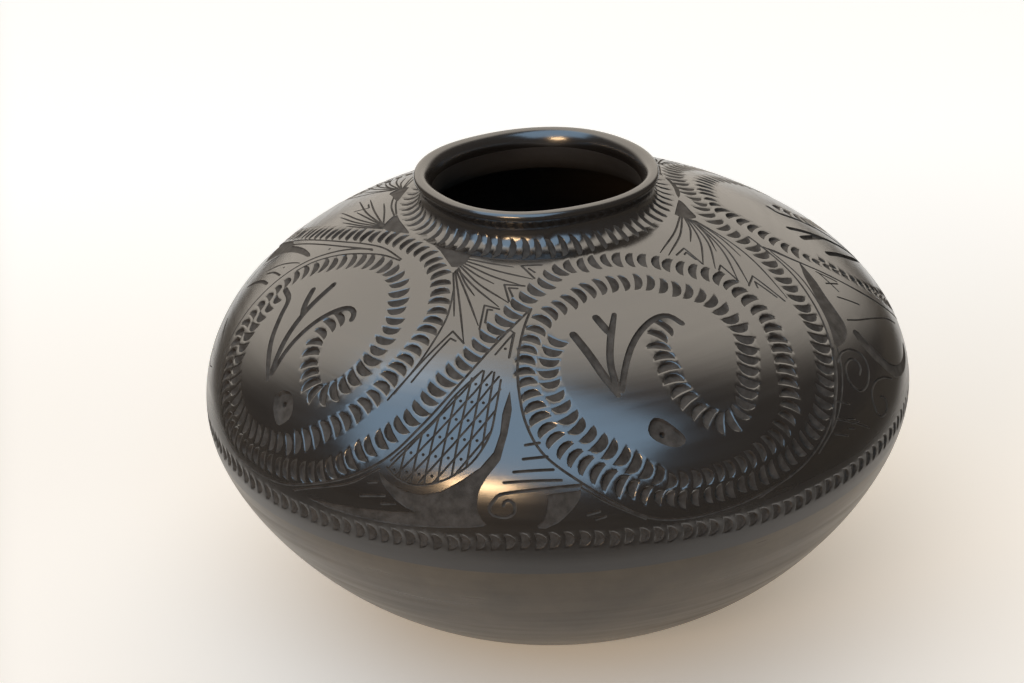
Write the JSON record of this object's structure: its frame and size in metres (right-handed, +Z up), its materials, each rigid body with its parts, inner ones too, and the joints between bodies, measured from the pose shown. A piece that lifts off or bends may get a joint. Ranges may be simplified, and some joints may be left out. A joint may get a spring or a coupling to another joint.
{
  "type": "clay pot",
  "caption": "Wide round hand-built clay jar with a flat foot, full shoulder, short neck and rolled lip, dark burnished surface with carved bands.",
  "frame": {"origin": "centre of the flat foot, on the surface that the pot stands on", "axes": "+Z up through the mouth, +Y away from the viewer of the picture, +X to that viewer's right"},
  "size_m": [0.28, 0.28, 0.1748],
  "materials": {
    "satin_clay": "satin black burnish with level tool streaks",
    "carved_clay": "polished black burnish with matte grey carving",
    "polished_clay": "polished black burnish"
  },
  "bodies": {
    "root": {"moulded_bowl": "satin_clay", "belly_coil": "carved_clay", "shoulder_coil": "carved_clay", "neck_coil": "polished_clay", "lip_coil": "polished_clay"}
  },
  "joints": []
}
